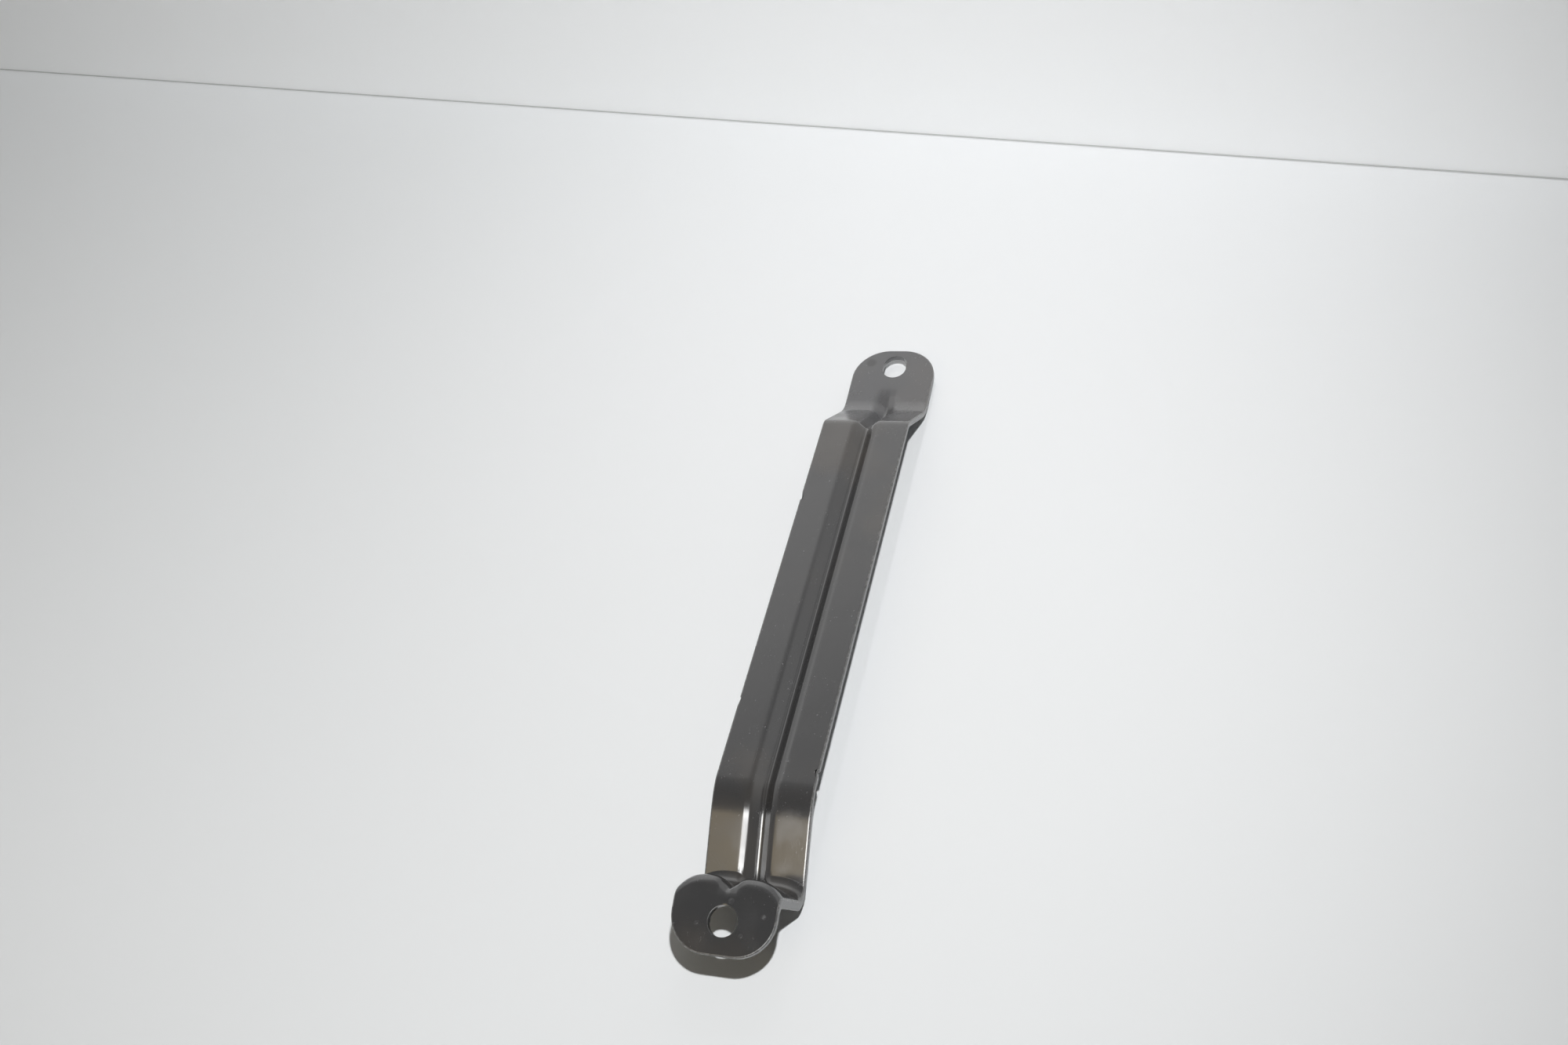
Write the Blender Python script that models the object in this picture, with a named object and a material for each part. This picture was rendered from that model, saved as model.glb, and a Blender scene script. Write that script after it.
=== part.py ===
# Car bracket: one strap of pressed steel sheet, folded five times and stiffened by a long V bead.
# The strap runs along X with its raised bridge level, and its lowest point lies on z = 0.
import bmesh
import bpy
from math import cos, pi, radians, sin, sqrt, tan
from mathutils import Matrix, Vector

MM = 0.001

# Sheet and strip
STRIP_WIDTH = 30.0 * MM
SHEET = 2.0 * MM
EDGE_ROUND = 0.3 * MM

# Straights of the side profile on the top face beside the bead, near end first
NEAR_TAB = 21.5 * MM
RISE = 21.1 * MM
SHORT_RAMP = 27.6 * MM
BRIDGE = 146.0 * MM
FAR_RAMP = 24.4 * MM
FAR_TAB = 28.7 * MM
NEAR_TAB_SLOPE = 18.0
RISE_SLOPE = -71.7
SHORT_RAMP_SLOPE = 30.4
FAR_RAMP_SLOPE = -36.8
FAR_TAB_SLOPE = 4.0

# The near fold and the valley curve back towards the strip's edges by these, along tab and ramp
NEAR_FOLD_SWEEP = 4.6 * MM
VALLEY_SWEEP = 2.0 * MM
SWEEP_POWER = 3.0

# Set-back of each fold on the top face, from the sharp corner to where the straight begins
NEAR_FOLD = 2.2 * MM
VALLEY = 2.0 * MM
NEAR_BEND = 5.2 * MM
FAR_BEND = 1.6 * MM
FAR_FOLD = 2.2 * MM

# V bead pressed down along the middle, with rounded shoulders and root
BEAD_WIDTH = 10.5 * MM
BEAD_DEPTH = 3.0 * MM
BEAD_SHOULDER = 0.38 * BEAD_WIDTH
BEAD_ROOT = 1.0 * MM

# The bead crosses the near fold, set back and sunk by these, and dies out on both tabs
CROSSING_BACK = 2.2 * MM
CROSSING_SUNK = 2.0 * MM
NEAR_RUN_OUT = 5.0 * MM
FAR_RUN_OUT = 8.5 * MM
RUN_OUT_EASE = 0.9 * MM

# Rounded tab ends and the bolt holes
NEAR_END_FLAT = 8.0 * MM
FAR_END_FLAT = 5.0 * MM
NEAR_CORNER = (STRIP_WIDTH - NEAR_END_FLAT) / 2
FAR_CORNER = (STRIP_WIDTH - FAR_END_FLAT) / 2
HOLE = 8.4 * MM
SLOT_LENGTH = 10.2 * MM
NEAR_HOLE_FROM_FOLD = 12.3 * MM
FAR_HOLE_FROM_FOLD = 20.8 * MM

# Shearing nicks in the bridge's edges: side, then start, deepest and end as shares of the
# bridge's length, then depth as a share of the strip's width
NICKS = (
    (-1, 0.041, 0.053, 0.057, 0.020),
    (1, 0.189, 0.208, 0.212, 0.012),
    (1, 0.751, 0.754, 0.775, 0.015),
)

# How far each punch reaches past the sheet
PUNCH_SPARE = 4.0 * MM

# Facets round each curve
FOLD_STEPS = 10
BEND_STEPS = 7
EASE_STEPS = 3
FLANGE_STEPS = 7
SHOULDER_STEPS = 4
ROOT_STEPS = 4
HOLE_SIDES = 40


def blend(a, b, t):
    return a + (b - a) * t


def heading(slope):
    return Vector((cos(radians(slope)), sin(radians(slope))))


def under(direction):
    # unit vector out of the underside of a straight
    return Vector((direction.y, -direction.x))


def sunk(points, depths):
    # the same chain of straights after each has moved out of its underside by its own depth
    outs = [under((b - a).normalized()) for a, b in zip(points, points[1:])]
    moved = []
    for i, point in enumerate(points):
        first = max(i - 1, 0)
        second = min(i, len(outs) - 1)
        a, b = outs[first], outs[second]
        aligned = a.dot(b)
        if aligned > 1 - 1e-9:
            moved.append(point + a * depths[first])
            continue
        along_a = depths[first] - depths[second] * aligned
        along_b = depths[second] - depths[first] * aligned
        moved.append(point + (a * along_a + b * along_b) / (1 - aligned * aligned))
    return moved


def profile_corners():
    straights = (
        (NEAR_TAB, NEAR_TAB_SLOPE), (RISE, RISE_SLOPE), (SHORT_RAMP, SHORT_RAMP_SLOPE), (BRIDGE, 0.0),
        (FAR_RAMP, FAR_RAMP_SLOPE), (FAR_TAB, FAR_TAB_SLOPE))
    points = [Vector((0.0, 0.0))]
    for length, slope in straights:
        points.append(points[-1] + heading(slope) * length)
    return points


def flange_chain(sweep):
    # side profile of the flanges, with a corner where the bead starts on each tab
    points = profile_corners()
    tab = heading(NEAR_TAB_SLOPE)
    points[1] -= tab * (NEAR_FOLD_SWEEP * sweep)
    points[2] -= heading(SHORT_RAMP_SLOPE) * (VALLEY_SWEEP * sweep)
    near_reach = max(NEAR_RUN_OUT, NEAR_FOLD + 2 * RUN_OUT_EASE)
    far_reach = max(FAR_RUN_OUT, FAR_FOLD + 2 * RUN_OUT_EASE)
    near_out = points[1] - tab * near_reach
    far_out = points[5] + heading(FAR_TAB_SLOPE) * far_reach
    return [points[0], near_out] + points[1:6] + [far_out, points[6]]


def root_chain(sweep):
    # side profile of the bead's root: sunk between the folds, level with the tabs at both ends
    chain = flange_chain(sweep)
    deep = sunk(chain, [BEAD_DEPTH] * (len(chain) - 1))
    tab = heading(NEAR_TAB_SLOPE)
    crossing = chain[2] - tab * CROSSING_BACK + under(tab) * CROSSING_SUNK
    return chain[:2] + [crossing] + deep[3:7] + chain[7:]


def bead_wall_angle():
    # slope of the bead's straight walls that reaches the stated depth inside the stated width
    rounds = BEAD_SHOULDER + BEAD_ROOT
    low = 0.0
    high = pi / 2 - 0.01
    for _ in range(60):
        angle = (low + high) / 2
        flat = max(BEAD_WIDTH / 2 - rounds * sin(angle), 0.0)
        depth = rounds * (1 - cos(angle)) + flat * tan(angle)
        if depth < BEAD_DEPTH:
            low = angle
        else:
            high = angle
    return angle


def columns(thickness):
    # stations across the strip on the top face or the underside: place, share of the bead's depth
    angle = bead_wall_angle()
    half = BEAD_WIDTH / 2
    side = []
    for i in range(ROOT_STEPS // 2 + 1):
        a = angle * i / (ROOT_STEPS // 2)
        side.append((BEAD_ROOT * sin(a), BEAD_DEPTH - BEAD_ROOT * (1 - cos(a)), a))
    for i in range(SHOULDER_STEPS + 1):
        a = angle * (1 - i / SHOULDER_STEPS)
        side.append((half - BEAD_SHOULDER * sin(a), BEAD_SHOULDER * (1 - cos(a)), a))
    for i in range(1, FLANGE_STEPS + 1):
        side.append((blend(half, STRIP_WIDTH / 2, i / FLANGE_STEPS), 0.0, 0.0))
    right = [(v + thickness * sin(a), (drop - thickness * (1 - cos(a))) / BEAD_DEPTH) for v, drop, a in side]
    return [(-v, share) for v, share in reversed(right[1:])] + right


def rounded(before, corner, after, setback, steps):
    # points round one corner, an arc that meets both straights at the set-back
    inward = (corner - before).normalized()
    onward = (after - corner).normalized()
    turn = inward.angle_signed(onward)
    first = corner - inward * setback
    if abs(turn) < 1e-4:
        return [first + (onward + inward) * (setback * i / steps) for i in range(steps + 1)]
    radius = setback / tan(abs(turn) / 2)
    points = []
    for i in range(steps + 1):
        a = abs(turn) * i / steps
        aside = (onward - inward * onward.dot(inward)).normalized()
        points.append(first + inward * (radius * sin(a)) + aside * (radius * (1 - cos(a))))
    return points


def bridge_stations():
    return [BRIDGE * place for place in sorted({place for nick in NICKS for place in nick[1:4]})]


def bridge_inset(side, place):
    along = place / BRIDGE
    for nick_side, begin, deepest, finish, depth in NICKS:
        if nick_side == side and begin < along <= deepest:
            return STRIP_WIDTH * depth * (along - begin) / (deepest - begin)
        if nick_side == side and deepest < along < finish:
            return STRIP_WIDTH * depth * (finish - along) / (finish - deepest)
    return 0.0


def side_line(v, share, thickness):
    # the side profile at one station across the strip, as points in X and Z
    flange_width = (STRIP_WIDTH - BEAD_WIDTH) / 2
    reach = min(max(abs(v) - BEAD_WIDTH / 2, 0.0) / flange_width, 1.0)
    sweep = reach ** SWEEP_POWER
    lean = SWEEP_POWER * reach ** (SWEEP_POWER - 1) * (NEAR_FOLD_SWEEP + VALLEY_SWEEP) / 2 / flange_width
    depths = [thickness] * 8
    depths[2] *= sqrt(1 + lean * lean)
    flange = sunk(flange_chain(sweep), depths)
    root = sunk(root_chain(sweep), depths)
    chain = [blend(a, b, share) for a, b in zip(flange, root)]
    setbacks = (RUN_OUT_EASE, NEAR_FOLD, VALLEY, NEAR_BEND, FAR_BEND, FAR_FOLD, RUN_OUT_EASE)
    facets = (EASE_STEPS, FOLD_STEPS, FOLD_STEPS, BEND_STEPS, BEND_STEPS, BEND_STEPS, EASE_STEPS)
    bridge_start = profile_corners()[3].x
    line = [chain[0]]
    for i, (setback, steps) in enumerate(zip(setbacks, facets)):
        before, corner, after = chain[i:i + 3]
        half_turn = (after - corner).angle_signed(corner - before) / 2
        line += rounded(before, corner, after, setback + thickness * tan(half_turn), steps)
        if i == 3:
            line += [Vector((bridge_start + place, corner.y)) for place in bridge_stations()]
    line.append(chain[-1])
    return line


def link(obj, collection):
    collection.objects.link(obj)
    return obj


def add_face(bm, thickness):
    # one face of the sheet: rows of the grid follow the side profile, columns cross the strip
    stations = columns(thickness)
    lines = [side_line(v, share, thickness) for v, share in stations]
    rows = len(lines[0])
    grid = bmesh.ops.create_grid(bm, x_segments=rows - 1, y_segments=len(lines) - 1, size=0.5)
    bridge_start = profile_corners()[3].x
    for vert in grid["verts"]:
        i = round((vert.co.x + 0.5) * (rows - 1))
        j = round((vert.co.y + 0.5) * (len(lines) - 1))
        x, z = lines[j][i]
        y = stations[j][0]
        if j in (0, len(lines) - 1):
            side = 1 if y > 0 else -1
            y -= side * bridge_inset(side, x - bridge_start)
        vert.co = (x, y, z)


def make_strap(collection):
    bm = bmesh.new()
    add_face(bm, 0.0)
    add_face(bm, SHEET)
    border = [edge for edge in bm.edges if edge.is_boundary]
    sheared = bmesh.ops.bridge_loops(bm, edges=border)["faces"]
    for face in sheared:
        face.material_index = 1
    bmesh.ops.recalc_face_normals(bm, faces=bm.faces)
    bmesh.ops.dissolve_limit(
        bm, angle_limit=radians(0.02), verts=bm.verts, edges=bm.edges, delimit={"MATERIAL"})
    mesh = bpy.data.meshes.new("bracket_strap")
    bm.to_mesh(mesh)
    bm.free()
    for name in ("rolled", "sheared"):
        mesh.materials.append(bpy.data.materials.new(name))
    return link(bpy.data.objects.new("bracket_strap", mesh), collection)


def tab_frame(corner, slope, outward):
    # X out along the tab from its fold, Z out of its top face
    along = heading(slope) * outward
    top = -under(heading(slope))
    x_axis = Vector((along.x, 0.0, along.y))
    z_axis = Vector((top.x, 0.0, top.y))
    y_axis = z_axis.cross(x_axis)
    frame = Matrix((x_axis, y_axis, z_axis)).transposed().to_4x4()
    frame.translation = (corner.x, 0.0, corner.y)
    return frame


def slot_cutter(collection, name, frame, from_fold, length):
    # a round punch, or a long one when the length is more than the width
    bm = bmesh.new()
    bmesh.ops.create_cone(
        bm, cap_ends=True, segments=HOLE_SIDES, radius1=HOLE / 2, radius2=HOLE / 2,
        depth=2 * (SHEET + PUNCH_SPARE),
        matrix=Matrix.Rotation(pi / HOLE_SIDES, 4, "Z"))
    stretch = (length - HOLE) / 2
    for vert in bm.verts:
        vert.co.x += stretch if vert.co.x > 0 else -stretch
    mesh = bpy.data.meshes.new(name)
    bm.to_mesh(mesh)
    bm.free()
    cutter = link(bpy.data.objects.new(name, mesh), collection)
    cutter.matrix_world = frame @ Matrix.Translation((from_fold, 0.0, 0.0))
    return cutter


def corner_cutter(collection, name, frame, tab_length, radius):
    # what the blanking die takes off the two corners of a tab's end
    curve = bpy.data.curves.new(name, "CURVE")
    curve.dimensions = "2D"
    curve.fill_mode = "BOTH"
    curve.extrude = SHEET + PUNCH_SPARE
    half = STRIP_WIDTH / 2
    for side in (1, -1):
        points = []
        for i in range(17):
            a = pi / 2 * i / 16
            points.append((tab_length - radius + radius * sin(a), half - radius + radius * cos(a)))
        points += [(tab_length + PUNCH_SPARE, half - radius), (tab_length + PUNCH_SPARE, half + PUNCH_SPARE),
                   (tab_length - radius, half + PUNCH_SPARE)]
        spline = curve.splines.new("POLY")
        spline.points.add(len(points) - 1)
        spline.use_cyclic_u = True
        for point, (u, v) in zip(spline.points, points):
            point.co = (u, v * side, 0.0, 1.0)
    outline = bpy.data.objects.new(name, curve)
    mesh = bpy.data.meshes.new_from_object(outline)
    bpy.data.objects.remove(outline)
    bm = bmesh.new()
    bm.from_mesh(mesh)
    bmesh.ops.remove_doubles(bm, verts=bm.verts, dist=1e-6)
    bmesh.ops.recalc_face_normals(bm, faces=bm.faces)
    bm.to_mesh(mesh)
    bm.free()
    cutter = link(bpy.data.objects.new(name, mesh), collection)
    cutter.matrix_world = frame
    return cutter


def apply_modifiers(obj):
    bpy.context.view_layer.update()
    graph = bpy.context.evaluated_depsgraph_get()
    shaped = bpy.data.meshes.new_from_object(obj.evaluated_get(graph))
    obj.modifiers.clear()
    obj.data = shaped


def mark_sheared(mesh):
    # sheared faces carry material 1 until their edges are rounded, rolled faces carry 0
    for name in ("rolled", "sheared"):
        mesh.materials.append(bpy.data.materials.new(name))
    for face in mesh.polygons:
        face.material_index = 1


def punch(strap, cutters):
    for cutter in cutters:
        cut = strap.modifiers.new(cutter.name, "BOOLEAN")
        cut.operation = "DIFFERENCE"
        cut.solver = "EXACT"
        cut.material_mode = "INDEX"
        cut.object = cutter
        mark_sheared(cutter.data)
        cutter.hide_render = True
        cutter.display_type = "WIRE"
    apply_modifiers(strap)
    bm = bmesh.new()
    bm.from_mesh(strap.data)
    bmesh.ops.remove_doubles(bm, verts=bm.verts, dist=3e-5)
    bmesh.ops.dissolve_degenerate(bm, edges=bm.edges, dist=1e-5)
    bm.to_mesh(strap.data)
    bm.free()


def soften_edges(strap):
    # the coat leaves a small radius along every sheared edge
    bm = bmesh.new()
    bm.from_mesh(strap.data)
    sharp = [edge for edge in bm.edges if len({face.material_index for face in edge.link_faces}) == 2]
    bmesh.ops.bevel(
        bm, geom=sharp, offset=EDGE_ROUND, offset_type="OFFSET", segments=2, profile=0.5,
        affect="EDGES", clamp_overlap=False)
    for face in bm.faces:
        face.material_index = 0
    bm.to_mesh(strap.data)
    bm.free()


def coat(strap):
    paint = bpy.data.materials.new("black_coat")
    paint.use_nodes = True
    shader = paint.node_tree.nodes["Principled BSDF"]
    shader.inputs["Base Color"].default_value = (0.012, 0.012, 0.013, 1.0)
    shader.inputs["Roughness"].default_value = 0.28
    shader.inputs["Metallic"].default_value = 0.0
    strap.data.materials.clear()
    strap.data.materials.append(paint)
    strap.data.shade_smooth()
    strap.data.set_sharp_from_angle(angle=radians(35))


def settle(strap):
    # lowest point on z = 0, middle of the overall length on x = 0
    low = min(vert.co.z for vert in strap.data.vertices)
    left = min(vert.co.x for vert in strap.data.vertices)
    right = max(vert.co.x for vert in strap.data.vertices)
    strap.data.transform(Matrix.Translation((-(left + right) / 2, 0.0, -low)))


def build():
    for obj in list(bpy.data.objects):
        bpy.data.objects.remove(obj)
    parts = bpy.data.collections.new("car_bracket")
    tools = bpy.data.collections.new("punches")
    bpy.context.scene.collection.children.link(parts)
    bpy.context.scene.collection.children.link(tools)
    _, near_fold, _, _, _, far_fold, _ = profile_corners()
    near = tab_frame(near_fold, NEAR_TAB_SLOPE, -1)
    far = tab_frame(far_fold, FAR_TAB_SLOPE, 1)
    strap = make_strap(parts)
    punch(strap, [
        slot_cutter(tools, "near_hole", near, NEAR_HOLE_FROM_FOLD, HOLE),
        slot_cutter(tools, "far_slot", far, FAR_HOLE_FROM_FOLD, SLOT_LENGTH),
        corner_cutter(tools, "near_corners", near, NEAR_TAB, NEAR_CORNER),
        corner_cutter(tools, "far_corners", far, FAR_TAB, FAR_CORNER),
    ])
    soften_edges(strap)
    settle(strap)
    coat(strap)


build()
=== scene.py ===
import bpy
import bmesh
from math import cos, pi, radians, sin, sqrt, tan
from mathutils import Matrix, Vector


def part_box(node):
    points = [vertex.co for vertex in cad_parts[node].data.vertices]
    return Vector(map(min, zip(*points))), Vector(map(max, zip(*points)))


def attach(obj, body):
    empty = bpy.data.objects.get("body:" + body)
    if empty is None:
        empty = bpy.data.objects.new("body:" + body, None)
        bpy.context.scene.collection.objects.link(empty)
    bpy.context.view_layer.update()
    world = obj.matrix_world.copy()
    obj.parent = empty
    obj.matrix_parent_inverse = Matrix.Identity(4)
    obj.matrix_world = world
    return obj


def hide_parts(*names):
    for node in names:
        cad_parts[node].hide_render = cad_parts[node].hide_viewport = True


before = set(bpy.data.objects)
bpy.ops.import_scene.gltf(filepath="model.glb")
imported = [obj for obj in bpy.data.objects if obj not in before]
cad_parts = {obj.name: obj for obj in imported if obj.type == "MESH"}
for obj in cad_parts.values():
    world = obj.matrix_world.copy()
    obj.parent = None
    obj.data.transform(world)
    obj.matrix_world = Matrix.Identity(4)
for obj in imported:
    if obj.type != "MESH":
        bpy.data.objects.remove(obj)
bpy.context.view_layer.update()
print("car bracket: frame loaded")

scene = bpy.context.scene
scene.view_settings.view_transform = "Standard"


def linkObject(obj):
    scene.collection.objects.link(obj)
    return obj


def facing(location, target, roll):
    # matrix that stands at location and points -Z at target, turned about that line by roll degrees
    away = Vector(location) - Vector(target)
    aimed = away.to_track_quat("Z", "Y").to_matrix().to_4x4()
    turn = aimed @ Matrix.Rotation(radians(roll), 4, "Z")
    return Matrix.Translation(Vector(location)) @ turn


# camera: above the tab with the round hole, looking along the strap; lens and sensor in millimetres,
# place in metres, turn in degrees
photoCamera = {
    "lens": 36.0,
    "sensor": 36.0,
    "place": (-0.285104, -0.142668, 0.39091),
    "turn": (41.97754, 12.361435, -76.193784),
}


def makeCamera():
    data = bpy.data.cameras.new("photoCamera")
    data.lens = photoCamera["lens"]
    data.sensor_width = photoCamera["sensor"]
    data.clip_start = 0.01
    camera = linkObject(bpy.data.objects.new("photoCamera", data))
    camera.location = photoCamera["place"]
    camera.rotation_euler = [radians(a) for a in photoCamera["turn"]]
    scene.camera = camera


# table and wall: seam is the line on the table where they meet, with a thin grey strip of painted shade
# along it
surroundings = {
    "tableColour": (0.797, 0.815, 0.829),
    "wallColour": (0.845, 0.86, 0.872),
    "roughness": 0.6,
    "specular": 0.1,
    "seam": ((0.3635, 0.5839), (0.2213, -0.2286)),
    "pastSeam": 2.5,  # how far table and wall run on past the seam's ends
    "tableDepth": 3.5,
    "wallHeight": 1.2,
    "seamShadeStrip": 0.0009,
    "seamLift": 0.0002,
    "seamShadeColour": (0.48, 0.49, 0.49),
}


def eased(tree, value, start, end, low, high):
    # value from start to end becomes low to high, eased at both ends
    node = tree.nodes.new("ShaderNodeMapRange")
    node.interpolation_type = "SMOOTHSTEP"
    for name, number in (("From Min", start), ("From Max", end), ("To Min", low), ("To Max", high)):
        node.inputs[name].default_value = number
    tree.links.new(value, node.inputs["Value"])
    return node.outputs["Result"]


def combined(tree, operation, *values):
    node = tree.nodes.new("ShaderNodeMath")
    node.operation = operation
    for i, value in enumerate(values):
        if isinstance(value, (int, float)):
            node.inputs[i].default_value = value
        else:
            tree.links.new(value, node.inputs[i])
    return node.outputs[0]


def product(tree, a, b):
    return combined(tree, "MULTIPLY", a, b)


def paleMaterial(name, colour):
    material = bpy.data.materials.new(name)
    material.use_nodes = True
    shader = material.node_tree.nodes["Principled BSDF"]
    shader.inputs["Base Color"].default_value = (*colour, 1.0)
    shader.inputs["Roughness"].default_value = surroundings["roughness"]
    shader.inputs["Specular IOR Level"].default_value = surroundings["specular"]
    return material


def makePanel(name, corners, material):
    mesh = bpy.data.meshes.new(name)
    mesh.from_pydata(corners, [], [(0, 1, 2, 3)])
    mesh.materials.append(material)
    panel = linkObject(bpy.data.objects.new(name, mesh))
    return panel


def makeSurroundings():
    left, right = [Vector((x, y, 0.0)) for x, y in surroundings["seam"]]
    along = (left - right).normalized()
    inward = Vector((-along.y, along.x, 0.0))
    farLeft = left + along * surroundings["pastSeam"]
    farRight = right - along * surroundings["pastSeam"]
    depth = inward * surroundings["tableDepth"]
    table = [farRight, farLeft, farLeft + depth, farRight + depth]
    makePanel("table", table, paleMaterial("paleTable", surroundings["tableColour"]))
    # painted shade: a grey strip on the table just in front of the wall, where the corner's shade falls
    near = inward * surroundings["seamShadeStrip"]
    lift = Vector((0.0, 0.0, surroundings["seamLift"]))
    shadeStrip = [farRight + lift, farLeft + lift, farLeft + near + lift, farRight + near + lift]
    makePanel("seamShadeStrip", shadeStrip, paleMaterial("seamShade", surroundings["seamShadeColour"]))
    up = Vector((0.0, 0.0, surroundings["wallHeight"]))
    corners = [farRight, farRight + up, farLeft + up, farLeft]
    wall = makePanel("wall", corners, paleMaterial("paleWall", surroundings["wallColour"]))
    wall.visible_glossy = False


# lamps: the flash just above the camera casts the crisp shadow, the overhead lamp is above the far end,
# the warm card is what the short ramp mirrors, and the strip is the streak down the bead's shoulder;
# lights says whether a lamp lights surfaces, and mirrored whether the coat shows it
lamps = {
    "flash": {
        "kind": "SPOT", "place": (-0.1797, -0.1479, 0.4774), "aim": (0.0, 0.0625, 0.0), "roll": 0.0,
        "radius": 0.007, "cone": 110.0, "even": True,
        "watts": 34.8, "colour": (1.0, 1.0, 1.0), "lights": True, "mirrored": False,
    },
    "overhead": {
        "kind": "SPOT", "place": (0.16, -0.02, 0.40), "aim": (0.16, -0.02, 0.0), "roll": 0.0,
        "radius": 0.010, "cone": 84.0, "even": False,
        "watts": 0.7, "colour": (1.0, 0.95, 0.96), "lights": True, "mirrored": False,
    },
    "warmCard": {
        "kind": "AREA", "place": (-0.976, 0.47, 1.055), "aim": (-0.083, 0.0, 0.012), "roll": 22.9,
        "size": (0.9, 0.52),
        "watts": 1.4, "colour": (1.0, 0.83, 0.55), "lights": True, "mirrored": True,
    },
    "strip": {
        "kind": "AREA", "place": (-0.6155, -0.174, 0.841), "aim": (-0.083, 0.0, 0.012), "roll": -15.6,
        "size": (0.83, 0.16),
        "watts": 4.3, "colour": (1.0, 1.0, 1.0), "lights": False, "mirrored": True,
    },
}
# room: what the table gets from all around, what the coat mirrors as (height, grey) pairs from the
# horizon up, and shades that darken it towards one side: axis, where it starts and ends, how much
room = {
    "colour": (0.95, 0.98, 1.0),
    "level": 0.06,
    "mirrored": (
        (0.0, 1.0), (0.55, 1.0), (0.69, 0.98), (0.76, 0.78), (0.82, 0.45), (0.90, 0.30), (1.0, 0.22),
    ),
    "shades": (
        ("Y", 0.20, -0.35, 0.45),  # to the right
        ("Y", 0.45, 0.80, 0.35),  # to the left
        ("X", 0.40, -0.45, 0.75),  # towards the camera
    ),
}


def makeFlashEven(data):
    # the same strength near and far, as a real flash further off would give
    data.use_nodes = True
    tree = data.node_tree
    falloff = tree.nodes.new("ShaderNodeLightFalloff")
    falloff.inputs["Strength"].default_value = 1.0
    tree.links.new(falloff.outputs["Constant"], tree.nodes["Emission"].inputs["Strength"])


def makeLamps():
    for name, settings in lamps.items():
        data = bpy.data.lights.new(name, settings["kind"])
        data.energy = settings["watts"]
        data.color = settings["colour"]
        if settings["kind"] == "SPOT":
            data.shadow_soft_size = settings["radius"]
            data.spot_size = radians(settings["cone"])
            data.spot_blend = 1.0
            if settings["even"]:
                makeFlashEven(data)
        else:
            data.shape = "RECTANGLE"
            data.size, data.size_y = settings["size"]
        lamp = linkObject(bpy.data.objects.new(name, data))
        lamp.matrix_world = facing(settings["place"], settings["aim"], settings["roll"])
        lamp.visible_diffuse = settings["lights"]
        lamp.visible_glossy = settings["mirrored"]


def makeRoom():
    world = bpy.data.worlds.new("softRoom")
    world.use_nodes = True
    tree = world.node_tree
    plain = tree.nodes["Background"]
    plain.inputs["Color"].default_value = (*room["colour"], 1.0)
    plain.inputs["Strength"].default_value = room["level"]
    mirrored = tree.nodes.new("ShaderNodeBackground")
    direction = tree.nodes.new("ShaderNodeTexCoord")
    split = tree.nodes.new("ShaderNodeSeparateXYZ")
    ramp = tree.nodes.new("ShaderNodeValToRGB")
    ramp.color_ramp.interpolation = "EASE"
    for i, (height, value) in enumerate(room["mirrored"]):
        stop = ramp.color_ramp.elements[i] if i < 2 else ramp.color_ramp.elements.new(height)
        stop.position = height
        stop.color = (value, value, value, 1.0)
    tree.links.new(direction.outputs["Generated"], split.inputs[0])
    tree.links.new(split.outputs["Z"], ramp.inputs[0])
    tree.links.new(ramp.outputs["Color"], mirrored.inputs["Color"])
    level = None
    for axis, start, end, darker in room["shades"]:
        shade = eased(tree, split.outputs[axis], start, end, 1.0, 1.0 - darker)
        level = shade if level is None else product(tree, level, shade)
    tree.links.new(level, mirrored.inputs["Strength"])
    rays = tree.nodes.new("ShaderNodeLightPath")
    mix = tree.nodes.new("ShaderNodeMixShader")
    tree.links.new(rays.outputs["Is Glossy Ray"], mix.inputs[0])
    tree.links.new(plain.outputs[0], mix.inputs[1])
    tree.links.new(mirrored.outputs[0], mix.inputs[2])
    tree.links.new(mix.outputs[0], tree.nodes["World Output"].inputs["Surface"])
    scene.world = world


# the strap, in metres and degrees; its side profile runs near tab, rise wall, near ramp, bridge,
# far ramp, far tab, and its folds are the near fold, valley, near bend, far bend and far fold
strap = {
    "width": 0.030,
    "sheet": 0.002,
    "lengths": (0.0215, 0.0211, 0.0276, 0.146, 0.0244, 0.0287),
    "slopes": (18.0, -71.7, 30.4, 0.0, -36.8, 4.0),
    "foldSetbacks": (0.0030, 0.0044, 0.0036, 0.0016, 0.0045),
    "nearBendReach": 0.0080,  # the near bend's own set-back on the ramp side
    "rootValleySetback": 0.0020,  # the valley is tighter in the bead's root
    "foldSweep": 0.0046,  # how far the near fold curves back at the strip's edges
    "valleySweep": 0.0020,
    "sweepPower": 3.0,
    "edgeRound": 0.00045,
    "rimRound": 0.00012,
    "rimReach": 0.0015,  # edges this close to a hole's wall are its rim
    "sharpAngle": 42.0,
}
# the bead: radii of its shoulders and root, where it dies out on the tabs, and how the fold takes it
bead = {
    "width": 0.0105,
    "depth": 0.0030,
    "shoulder": 0.00399,
    "root": 0.0010,
    "nearRunOut": 0.0050,
    "farRunOut": 0.0085,
    "nearRunOutEase": 0.0009,
    "farRunOutEase": 0.0025,
    "crossingBack": 0.0022,
    "crossingSunk": 0.0020,
}
# tab ends: corner radii, hole and slot sizes, and how far each hole's middle is from its fold
ends = {
    "nearCorner": 0.0110,
    "farCorner": 0.0125,
    "hole": 0.0084,
    "slot": 0.0102,
    "nearHole": 0.0123,
    "farHole": 0.0208,
    "punchSpare": 0.004,
}
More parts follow.
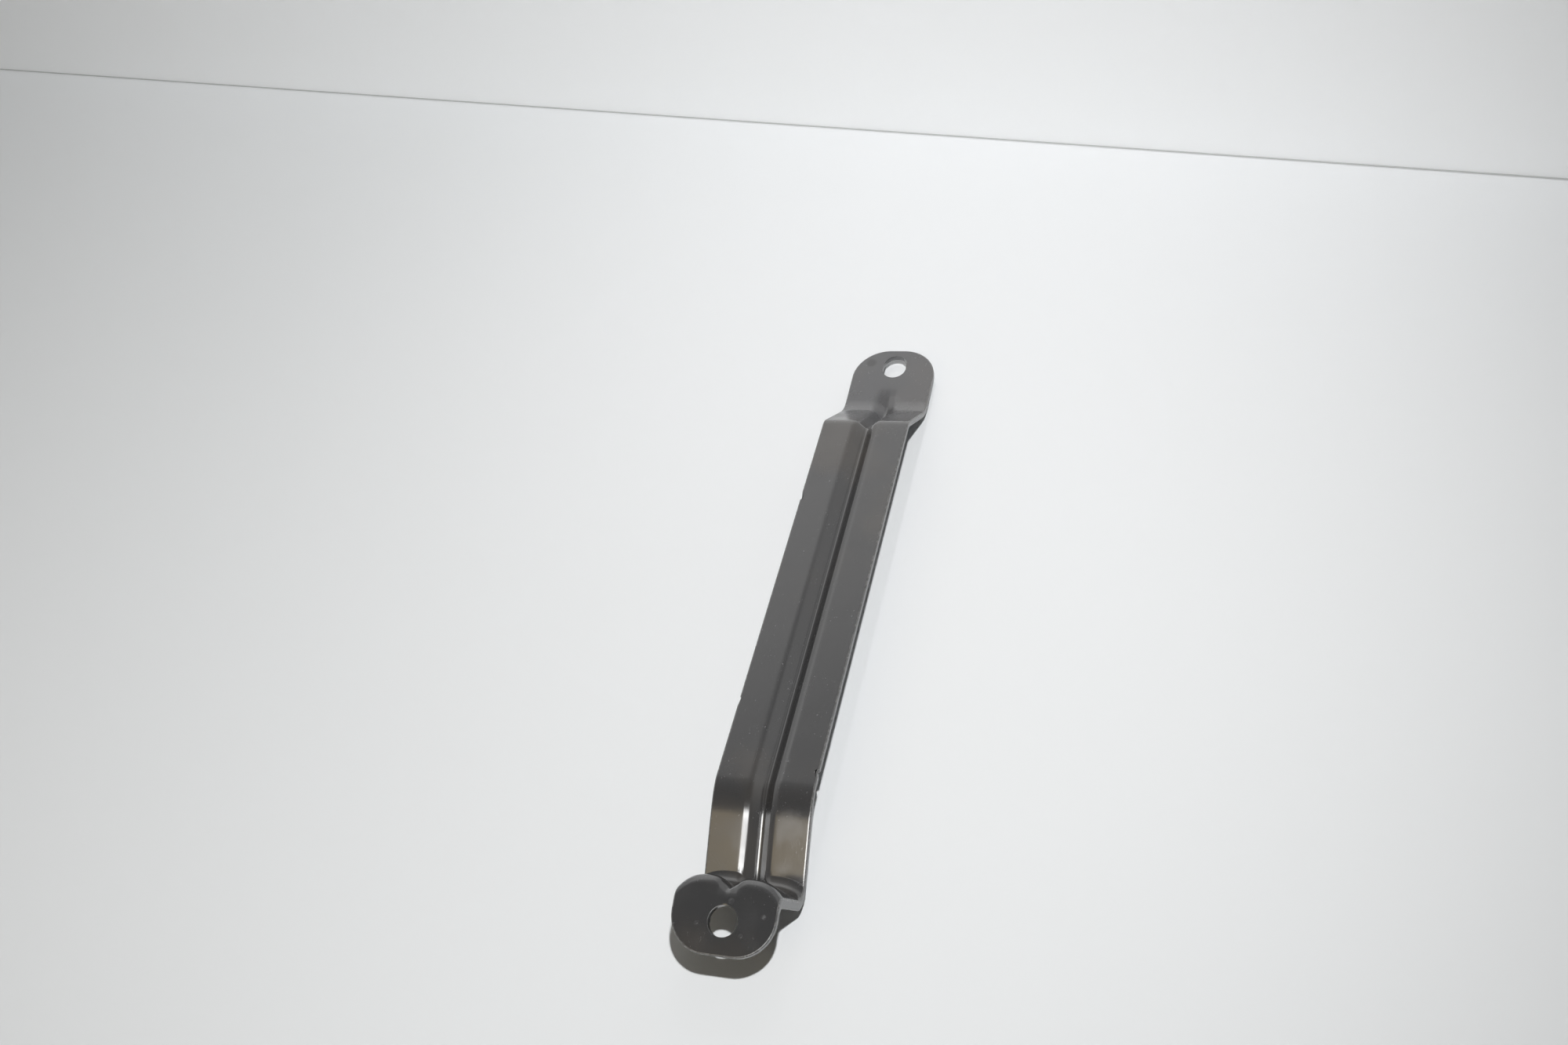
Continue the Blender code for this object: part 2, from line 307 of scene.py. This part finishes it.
# shearing nicks in the bridge's edges: places as shares of its length, depth as a share of the width
nicks = (
    {"side": -1, "start": 0.041, "deepest": 0.053, "end": 0.057, "depth": 0.020},
    {"side": 1, "start": 0.189, "deepest": 0.208, "end": 0.212, "depth": 0.012},
    {"side": 1, "start": 0.751, "deepest": 0.754, "end": 0.775, "depth": 0.015},
)
# steps in each curve, and the sizes below which points and edges are merged
fineness = {
    "fold": 22,
    "bend": 14,
    "ease": 6,
    "flange": 14,
    "shoulder": 8,
    "root": 6,
    "hole": 96,
    "corner": 32,
    "edgeRound": 4,
    "rimRound": 2,
    "mergedGap": 1.5e-5,
    "shortestEdge": 5e-6,
    "flatAngle": 0.01,
}


def between(a, b, t):
    return a + (b - a) * t


def heading(slope):
    return Vector((cos(radians(slope)), sin(radians(slope))))


def below(way):
    return Vector((way.y, -way.x))


def lowered(points, depths):
    # each straight moves out of its underside by its own depth, and the corners follow
    outs = [below((b - a).normalized()) for a, b in zip(points, points[1:])]
    moved = []
    for i, point in enumerate(points):
        first = max(i - 1, 0)
        second = min(i, len(outs) - 1)
        a, b = outs[first], outs[second]
        aligned = a.dot(b)
        if aligned > 1 - 1e-9:
            moved.append(point + a * depths[first])
            continue
        alongA = depths[first] - depths[second] * aligned
        alongB = depths[second] - depths[first] * aligned
        moved.append(point + (a * alongA + b * alongB) / (1 - aligned * aligned))
    return moved


def profileCorners():
    points = [Vector((0.0, 0.0))]
    for length, slope in zip(strap["lengths"], strap["slopes"]):
        points.append(points[-1] + heading(slope) * length)
    return points


def flangeChain(sweep):
    # side profile beside the bead, with a corner where the bead starts on each tab
    points = profileCorners()
    slopes = strap["slopes"]
    tab = heading(slopes[0])
    points[1] -= tab * (strap["foldSweep"] * sweep)
    points[2] -= heading(slopes[2]) * (strap["valleySweep"] * sweep)
    nearOut = points[1] - tab * bead["nearRunOut"]
    farOut = points[5] + heading(slopes[5]) * bead["farRunOut"]
    return [points[0], nearOut] + points[1:6] + [farOut, points[6]]


def rootChain(sweep):
    # side profile of the bead's root, which cuts the corner at the near fold
    chain = flangeChain(sweep)
    deep = lowered(chain, [bead["depth"]] * (len(chain) - 1))
    tab = heading(strap["slopes"][0])
    crossing = chain[2] - tab * bead["crossingBack"] + below(tab) * bead["crossingSunk"]
    return chain[:2] + [crossing] + deep[3:7] + chain[7:]


def beadWallAngle():
    # slope of the straight walls that takes the bead to its depth inside its width
    rounds = bead["shoulder"] + bead["root"]
    low, high = 0.0, pi / 2 - 0.01
    for _ in range(60):
        angle = (low + high) / 2
        flat = max(bead["width"] / 2 - rounds * sin(angle), 0.0)
        if rounds * (1 - cos(angle)) + flat * tan(angle) < bead["depth"]:
            low = angle
        else:
            high = angle
    return angle


def stationsAcross(thickness):
    # places across the strip with their share of the bead's depth
    angle = beadWallAngle()
    half = bead["width"] / 2
    rootSteps, shoulderSteps, flangeSteps = fineness["root"], fineness["shoulder"], fineness["flange"]
    side = []
    for i in range(rootSteps + 1):
        a = angle * i / rootSteps
        side.append((bead["root"] * sin(a), bead["depth"] - bead["root"] * (1 - cos(a)), a))
    for i in range(shoulderSteps + 1):
        a = angle * (1 - i / shoulderSteps)
        side.append((half - bead["shoulder"] * sin(a), bead["shoulder"] * (1 - cos(a)), a))
    for i in range(1, flangeSteps + 1):
        side.append((between(half, strap["width"] / 2, i / flangeSteps), 0.0, 0.0))
    right = [(v + thickness * sin(a), (drop - thickness * (1 - cos(a))) / bead["depth"])
             for v, drop, a in side]
    return [(-v, share) for v, share in reversed(right[1:])] + right


def roundedCorner(before, corner, after, setback, steps):
    # arc that meets both straights at the set-back
    inward = (corner - before).normalized()
    onward = (after - corner).normalized()
    turn = abs(inward.angle_signed(onward))
    first = corner - inward * setback
    if turn < 1e-4:
        return [first + (onward + inward) * (setback * i / steps) for i in range(steps + 1)]
    radius = setback / tan(turn / 2)
    aside = (onward - inward * onward.dot(inward)).normalized()
    arc = []
    for i in range(steps + 1):
        a = turn * i / steps
        arc.append(first + inward * (radius * sin(a)) + aside * (radius * (1 - cos(a))))
    return arc


def leaningCorner(before, corner, after, backward, forward, steps):
    # curve that leaves the first straight and meets the second at unequal set-backs
    start = corner - (corner - before).normalized() * backward
    end = corner + (after - corner).normalized() * forward
    points = []
    for i in range(steps + 1):
        t = i / steps
        points.append(start * (1 - t) ** 2 + corner * (2 * t * (1 - t)) + end * t ** 2)
    return points


def bridgeStart():
    return profileCorners()[3].x


def bridgeLength():
    return strap["lengths"][3]


def nickStations():
    return sorted({nick[key] for nick in nicks for key in ("start", "deepest", "end")})


def nickInset(side, along):
    for nick in nicks:
        if nick["side"] == side and nick["start"] < along <= nick["deepest"]:
            share = (along - nick["start"]) / (nick["deepest"] - nick["start"])
            return strap["width"] * nick["depth"] * share
        if nick["side"] == side and nick["deepest"] < along < nick["end"]:
            share = (nick["end"] - along) / (nick["end"] - nick["deepest"])
            return strap["width"] * nick["depth"] * share
    return 0.0


def sideLine(v, share, thickness):
    # side profile at one place across the strip
    flangeWidth = (strap["width"] - bead["width"]) / 2
    reach = min(max(abs(v) - bead["width"] / 2, 0.0) / flangeWidth, 1.0)
    power = strap["sweepPower"]
    sweep = reach ** power
    lean = power * reach ** (power - 1) * (strap["foldSweep"] + strap["valleySweep"]) / 2 / flangeWidth
    flangePlain, rootPlain = flangeChain(sweep), rootChain(sweep)
    depths = [thickness] * (len(flangePlain) - 1)
    depths[2] *= sqrt(1 + lean * lean)  # the rise wall leans sideways under the swept fold
    flange, root = lowered(flangePlain, depths), lowered(rootPlain, depths)
    chain = [between(a, b, share) for a, b in zip(flange, root)]
    setbacks = [bead["nearRunOutEase"], *strap["foldSetbacks"], bead["farRunOutEase"]]
    setbacks[2] = between(setbacks[2], strap["rootValleySetback"], share)
    steps = [fineness[key] for key in ("ease", "fold", "fold", "bend", "bend", "bend", "ease")]
    nearBend = 3
    line = [chain[0]]
    for i, (setback, count) in enumerate(zip(setbacks, steps)):
        before, corner, after = chain[i:i + 3]
        inside = thickness * tan((after - corner).angle_signed(corner - before) / 2)
        if i == nearBend:
            reach = strap["nearBendReach"] + inside
            line += leaningCorner(before, corner, after, reach, setback + inside, count)
            line += [Vector((bridgeStart() + place * bridgeLength(), corner.y)) for place in nickStations()]
        else:
            line += roundedCorner(before, corner, after, setback + inside, count)
    line.append(chain[-1])
    return line


def addSheetFace(bm, thickness):
    stations = stationsAcross(thickness)
    edgePlaces = (stations[0][0], stations[-1][0])
    start, length = bridgeStart(), bridgeLength()
    columns = []
    for v, share in stations:
        column = []
        for x, z in sideLine(v, share, thickness):
            y = v
            if v in edgePlaces:
                side = 1 if v > 0 else -1
                y -= side * nickInset(side, (x - start) / length)
            column.append(bm.verts.new((x, y, z)))
        columns.append(column)
    for a, b in zip(columns, columns[1:]):
        for i in range(len(a) - 1):
            bm.faces.new((a[i], a[i + 1], b[i + 1], b[i]))


def meshObject(name, bm):
    # slot 0 is for rolled faces and slot 1 for sheared ones, until the coat takes their place
    mesh = bpy.data.meshes.new(name)
    bm.to_mesh(mesh)
    bm.free()
    for slot in ("rolledFace", "shearedFace"):
        mesh.materials.append(bpy.data.materials.new(slot))
    return linkObject(bpy.data.objects.new(name, mesh))


def pressedSheet():
    bm = bmesh.new()
    addSheetFace(bm, 0.0)
    addSheetFace(bm, strap["sheet"])
    border = [edge for edge in bm.edges if edge.is_boundary]
    for face in bmesh.ops.bridge_loops(bm, edges=border)["faces"]:
        face.material_index = 1
    bmesh.ops.recalc_face_normals(bm, faces=bm.faces)
    bmesh.ops.dissolve_limit(bm, angle_limit=radians(fineness["flatAngle"]), verts=bm.verts,
                             edges=bm.edges, delimit={"MATERIAL"})
    return meshObject("pressedStrap", bm)


def tabFrame(corner, slope, outward):
    # X runs out along the tab from its fold, Z out of its top face
    along = heading(slope) * outward
    top = -below(heading(slope))
    xAxis = Vector((along.x, 0.0, along.y))
    zAxis = Vector((top.x, 0.0, top.y))
    matrix = Matrix((xAxis, zAxis.cross(xAxis), zAxis)).transposed().to_4x4()
    matrix.translation = (corner.x, 0.0, corner.y)
    return matrix


def prism(name, matrix, outlines):
    # closed outlines pulled through the sheet
    reach = strap["sheet"] + ends["punchSpare"]
    bm = bmesh.new()
    for outline in outlines:
        low = [bm.verts.new((u, v, -reach)) for u, v in outline]
        high = [bm.verts.new((u, v, reach)) for u, v in outline]
        bm.faces.new(low)
        bm.faces.new(high)
        for i in range(len(outline)):
            k = (i + 1) % len(outline)
            bm.faces.new((low[i], low[k], high[k], high[i]))
    bmesh.ops.recalc_face_normals(bm, faces=bm.faces)
    for face in bm.faces:
        face.material_index = 1
    cutter = meshObject(name, bm)
    cutter.matrix_world = matrix
    return cutter


def slotOutline(fromFold, length):
    count = fineness["hole"]
    stretch = (length - ends["hole"]) / 2
    outline = []
    for i in range(count):
        a = 2 * pi * (i + 0.5) / count
        u = ends["hole"] / 2 * cos(a)
        outline.append((fromFold + u + (stretch if u > 0 else -stretch), ends["hole"] / 2 * sin(a)))
    return outline


def cornerOutlines(tabLength, radius):
    # what is cut away outside both rounded corners of a tab
    spare, half, steps = ends["punchSpare"], strap["width"] / 2, fineness["corner"]
    outline = []
    for i in range(steps + 1):
        a = pi / 2 * i / steps
        outline.append((tabLength - radius + radius * sin(a), half - radius + radius * cos(a)))
    outline += [(tabLength + spare, half - radius), (tabLength + spare, half + spare),
                (tabLength - radius, half + spare)]
    return [[(u, v * side) for u, v in outline] for side in (1, -1)]


def applyModifiers(obj):
    bpy.context.view_layer.update()
    graph = bpy.context.evaluated_depsgraph_get()
    shaped = bpy.data.meshes.new_from_object(obj.evaluated_get(graph))
    obj.modifiers.clear()
    obj.data = shaped


def punchStrap(sheet):
    corners = profileCorners()
    lengths, slopes = strap["lengths"], strap["slopes"]
    near = tabFrame(corners[1], slopes[0], -1)
    far = tabFrame(corners[5], slopes[5], 1)
    cutters = [
        prism("nearHolePunch", near, [slotOutline(ends["nearHole"], ends["hole"])]),
        prism("farSlotPunch", far, [slotOutline(ends["farHole"], ends["slot"])]),
        prism("nearCornerPunch", near, cornerOutlines(lengths[0], ends["nearCorner"])),
        prism("farCornerPunch", far, cornerOutlines(lengths[5], ends["farCorner"])),
    ]
    for cutter in cutters:
        cut = sheet.modifiers.new(cutter.name, "BOOLEAN")
        cut.operation = "DIFFERENCE"
        cut.solver = "EXACT"
        cut.material_mode = "INDEX"
        cut.object = cutter
    applyModifiers(sheet)
    for cutter in cutters:
        bpy.data.objects.remove(cutter)


def holeDistance(point):
    # how far a point stands off the wall of the nearer bolt hole
    distances = []
    corners = profileCorners()
    for corner, slope, outward, fromFold in ((corners[1], strap["slopes"][0], -1, ends["nearHole"]),
                                             (corners[5], strap["slopes"][5], 1, ends["farHole"])):
        local = tabFrame(corner, slope, outward).inverted() @ point
        stretch = (ends["slot"] - ends["hole"]) / 2 if outward > 0 else 0.0
        u = max(abs(local.x - fromFold) - stretch, 0.0)
        distances.append(abs(sqrt(u * u + local.y * local.y) - ends["hole"] / 2))
    return min(distances)


def softenEdges(sheet):
    # small radius along every sheared edge; the wear layer marks it for the coat's wear and painted edge
    # highlight
    bm = bmesh.new()
    bm.from_mesh(sheet.data)
    wearAndGlint = bm.loops.layers.float.new("edgeWearAndGlint")
    bmesh.ops.remove_doubles(bm, verts=bm.verts, dist=fineness["mergedGap"])
    bmesh.ops.dissolve_degenerate(bm, edges=bm.edges, dist=fineness["shortestEdge"])
    rims, outer = [], []
    for edge in bm.edges:
        if len({face.material_index for face in edge.link_faces}) == 2:
            byHole = min(holeDistance(vert.co) for vert in edge.verts) < strap["rimReach"]
            (rims if byHole else outer).append(edge)
    for edges, size in ((rims, "rimRound"), (outer, "edgeRound")):
        result = bmesh.ops.bevel(bm, geom=edges, offset=strap[size], offset_type="OFFSET",
                                 segments=fineness[size], profile=0.5, affect="EDGES",
                                 clamp_overlap=False)
        for face in result["faces"]:
            for corner in face.loops:
                corner[wearAndGlint] = 1.0
    bm.to_mesh(sheet.data)
    bm.free()


def settleStrap(sheet):
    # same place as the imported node: lowest point and middle of the length
    low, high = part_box("bracket_strap")
    xs = [vert.co.x for vert in sheet.data.vertices]
    zs = [vert.co.z for vert in sheet.data.vertices]
    shift = Vector(((low.x + high.x - min(xs) - max(xs)) / 2, 0.0, low.z - min(zs)))
    sheet.data.transform(Matrix.Translation(shift))
    print("car bracket: strap settled by", [round(1000 * s, 3) for s in shift], "mm")


def smoothShading(sheet):
    # bends shade as curves, while the flat faces keep their own normals
    sheet.data.shade_smooth()
    sheet.data.set_sharp_from_angle(angle=radians(strap["sharpAngle"]))
    weighted = sheet.modifiers.new("flatFaces", "WEIGHTED_NORMAL")
    weighted.mode = "FACE_AREA_WITH_ANGLE"
    weighted.keep_sharp = True
    applyModifiers(sheet)


# black coat: glossy, faintly rippled, with wiped smudges, fine scratches, dust, a far end painted lighter
# as painted sheen, and worn outer edges with a painted edge highlight
coat = {
    "colour": (0.039, 0.039, 0.040),
    "stainColour": (0.070, 0.060, 0.050),
    "dustAndSheenColour": (0.195, 0.197, 0.205),
    "wornAndGlintColour": (0.20, 0.20, 0.195),
    "ior": 2.0,
    "roughness": 0.12,
    "rippleSize": 900.0,
    "rippleDetail": 2.0,
    "rippleHeight": 0.000004,
    # patches of noise: size, detail, the noise values they fade in between, least and most share
    "patches": {
        "wiped": (90.0, 4.0, 0.45, 0.72, 0.0, 1.0),
        "scratches": (1800.0, 3.0, 0.60, 0.72, 0.0, 1.0),
        "scratchedParts": (60.0, 2.0, 0.48, 0.62, 0.0, 1.0),
        "specks": (1500.0, 1.0, 0.70, 0.76, 0.0, 1.0),
        "speckledParts": (140.0, 2.0, 0.45, 0.65, 0.0, 1.0),
        "stains": (30.0, 3.0, 0.48, 0.70, 0.0, 0.5),
        "printGrain": (1300.0, 3.0, 0.40, 0.60, 0.2, 1.0),
        "wornAndGlintParts": (700.0, 4.0, 0.38, 0.62, 0.55, 1.0),
    },
    "scratchStretch": (0.02, 1.0, 1.0),
    # painted sheen: the coat is painted lighter from here on along the strap, standing in for the brighter
    # reflection at the far end, all but a round place left darker
    "sheenFrom": 0.068,
    "sheenTo": 0.084,
    "unsheenedSpot": (0.1163, 0.0090, 0.0026),
    "unsheenedShare": 0.65,
    # a cleaner ring round the near hole and small dull prints, all (x, y, radius) as the strap lies
    "holeRing": (-0.11357, 0.0, 0.00825),
    "smudges": (
        (-0.1087, -0.0016, 0.0011),
        (-0.1151, 0.0072, 0.0008),
        (-0.1117, -0.0113, 0.0009),
        (-0.1170, -0.0057, 0.0008),
        (-0.0332, 0.0013, 0.0010),
        (-0.0615, -0.0051, 0.0010),
        (0.0507, -0.0142, 0.0008),
    ),
    "edgeWearAndGlintFrom": 0.35,
    # how much each mark covers with dust and painted sheen, how much the worn edges show bare metal with a
    # painted edge highlight, what each adds to the roughness, and what stands proud
    "dustAndSheen": {"sheenedEnd": 0.34, "specks": 0.55, "prints": 0.20},
    "wornAndGlintShare": 0.45,
    "rougher": {
        "wiped": 0.10, "scratches": 0.12, "sheenedEnd": 0.10, "wornAndGlint": 0.16, "prints": 0.20, "ring": -0.03,
    },
    "raised": {"scratches": -0.35, "specks": 1.5},
}


def noiseOf(tree, place, size, detail, stretch=(1.0, 1.0, 1.0)):
    scaled = tree.nodes.new("ShaderNodeMapping")
    scaled.inputs["Scale"].default_value = stretch
    noise = tree.nodes.new("ShaderNodeTexNoise")
    noise.inputs["Scale"].default_value = size
    noise.inputs["Detail"].default_value = detail
    tree.links.new(place, scaled.inputs["Vector"])
    tree.links.new(scaled.outputs[0], noise.inputs["Vector"])
    return noise.outputs["Fac"]


def coloured(tree, share, under, over):
    # over covers under by its share
    mix = tree.nodes.new("ShaderNodeMix")
    mix.data_type = "RGBA"
    mix.inputs["B"].default_value = (*over, 1.0)
    tree.links.new(share, mix.inputs["Factor"])
    if isinstance(under, tuple):
        mix.inputs["A"].default_value = (*under, 1.0)
    else:
        tree.links.new(under, mix.inputs["A"])
    return mix.outputs["Result"]


def spotAt(tree, flatPlace, x, y, radius):
    # 1 in the middle of a round spot, 0 outside it
    away = tree.nodes.new("ShaderNodeVectorMath")
    away.operation = "DISTANCE"
    away.inputs[1].default_value = (x, y, 0.0)
    tree.links.new(flatPlace, away.inputs[0])
    return eased(tree, away.outputs["Value"], radius, radius * 0.35, 0.0, 1.0)


def patch(tree, place, name, stretch=(1.0, 1.0, 1.0)):
    size, detail, start, end, low, high = coat["patches"][name]
    return eased(tree, noiseOf(tree, place, size, detail, stretch), start, end, low, high)


def summed(tree, total, marks, amounts):
    # total and each mark by its own amount
    for name, amount in amounts.items():
        part = product(tree, marks[name], amount)
        total = part if total is None else combined(tree, "ADD", total, part)
    return total


def coatMarks(tree, place):
    # where each kind of mark lies on the strap, from 0 to 1
    flat = tree.nodes.new("ShaderNodeVectorMath")
    flat.operation = "MULTIPLY"
    flat.inputs[1].default_value = (1.0, 1.0, 0.0)
    tree.links.new(place, flat.inputs[0])
    flatPlace = flat.outputs[0]
    apart = tree.nodes.new("ShaderNodeSeparateXYZ")
    tree.links.new(place, apart.inputs[0])

    scratches = patch(tree, place, "scratches", coat["scratchStretch"])
    specks = patch(tree, place, "specks")
    # painted sheen: the far end is painted lighter, in place of its brighter reflection
    sheenedEnd = eased(tree, apart.outputs["X"], coat["sheenFrom"], coat["sheenTo"], 0.0, 1.0)
    unsheened = product(tree, spotAt(tree, flatPlace, *coat["unsheenedSpot"]), coat["unsheenedShare"])
    prints = None
    for smudge in coat["smudges"]:
        spot = spotAt(tree, flatPlace, *smudge)
        prints = spot if prints is None else combined(tree, "MAXIMUM", prints, spot)
    # worn edges: bare metal, also painted lighter as a painted edge highlight
    edge = tree.nodes.new("ShaderNodeAttribute")
    edge.attribute_name = "edgeWearAndGlint"
    wornAndGlint = eased(tree, edge.outputs["Fac"], coat["edgeWearAndGlintFrom"], 1.0, 0.0, 1.0)
    return {
        "wiped": patch(tree, place, "wiped"),
        "scratches": product(tree, scratches, patch(tree, place, "scratchedParts")),
        "specks": product(tree, specks, patch(tree, place, "speckledParts")),
        "sheenedEnd": product(tree, sheenedEnd, combined(tree, "SUBTRACT", 1.0, unsheened)),
        "stains": patch(tree, place, "stains"),
        "prints": product(tree, prints, patch(tree, place, "printGrain")),
        "ring": spotAt(tree, flatPlace, *coat["holeRing"]),
        "wornAndGlint": product(tree, wornAndGlint, patch(tree, place, "wornAndGlintParts")),
    }


def blackCoat():
    material = bpy.data.materials.new("blackCoat")
    material.use_nodes = True
    tree = material.node_tree
    shader = tree.nodes["Principled BSDF"]
    shader.inputs["IOR"].default_value = coat["ior"]
    place = tree.nodes.new("ShaderNodeTexCoord").outputs["Object"]
    marks = coatMarks(tree, place)

    # stains, then dust with the far end's painted sheen, then worn edges with their painted edge highlight,
    # lighten the black
    dustAndSheen = combined(tree, "MINIMUM", summed(tree, None, marks, coat["dustAndSheen"]), 1.0)
    colour = coloured(tree, marks["stains"], coat["colour"], coat["stainColour"])
    colour = coloured(tree, dustAndSheen, colour, coat["dustAndSheenColour"])
    colour = coloured(tree, product(tree, marks["wornAndGlint"], coat["wornAndGlintShare"]), colour, coat["wornAndGlintColour"])
    tree.links.new(colour, shader.inputs["Base Color"])

    rough = summed(tree, coat["roughness"], marks, coat["rougher"])
    tree.links.new(rough, shader.inputs["Roughness"])

    ripple = noiseOf(tree, place, coat["rippleSize"], coat["rippleDetail"])
    bump = tree.nodes.new("ShaderNodeBump")
    bump.inputs["Distance"].default_value = coat["rippleHeight"]
    tree.links.new(summed(tree, ripple, marks, coat["raised"]), bump.inputs["Height"])
    tree.links.new(bump.outputs["Normal"], shader.inputs["Normal"])
    return material


def makeStrap():
    sheet = pressedSheet()
    punchStrap(sheet)
    softenEdges(sheet)
    settleStrap(sheet)
    sheet.data.materials.clear()
    sheet.data.materials.append(blackCoat())
    for face in sheet.data.polygons:
        face.material_index = 0
    smoothShading(sheet)
    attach(sheet, "root")
    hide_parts("bracket_strap")
    print("car bracket: strap pressed, punched and coated,", len(sheet.data.polygons), "faces")


makeCamera()
makeSurroundings()
makeLamps()
makeRoom()
print("car bracket: camera, table, wall and lamps made")
makeStrap()
